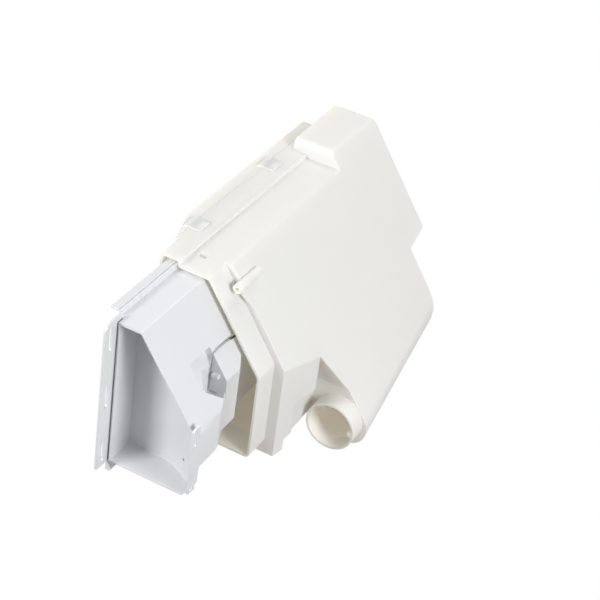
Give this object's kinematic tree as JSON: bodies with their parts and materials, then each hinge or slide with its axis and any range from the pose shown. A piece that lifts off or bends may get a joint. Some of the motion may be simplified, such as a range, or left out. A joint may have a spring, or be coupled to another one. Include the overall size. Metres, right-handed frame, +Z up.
{
  "type": "detergent dispenser drawer",
  "caption": "Washing machine detergent dispenser: moulded trough with sloping side, sump and outlet spigot, clip-on cover and a pull-out drawer with compartments.",
  "frame": {"origin": "on the front plane of the collar, where its sloping side meets its floor inside the mouth", "axes": "+X to the right facing the machine, +Y to the rear, +Z up; the drawer pulls out along -Y"},
  "size_m": [0.2295, 0.469, 0.211],
  "materials": {
    "housing_trough": "fine matt moulded polypropylene, warm white",
    "housing_cover": "fine matt moulded polypropylene, warm white",
    "spray_plate": "fine matt moulded polypropylene, warm white",
    "drawer_body": "satin moulded polypropylene, cool pale grey",
    "siphon_cap": "satin moulded polypropylene, cool pale grey",
    "catch_wire": "drawn spring steel wire"
  },
  "bodies": {
    "housing": {"housing_trough": "housing_trough", "housing_cover": "housing_cover", "spray_plate": "spray_plate"},
    "drawer": {"drawer_body": "drawer_body", "siphon_cap": "siphon_cap", "catch_wire": "catch_wire"}
  },
  "joints": [
    {"name": "drawer_slide", "type": "slide", "parent": "housing", "child": "drawer", "axis": [0, 1, 0], "range_m": [0, 0.096]}
  ]
}
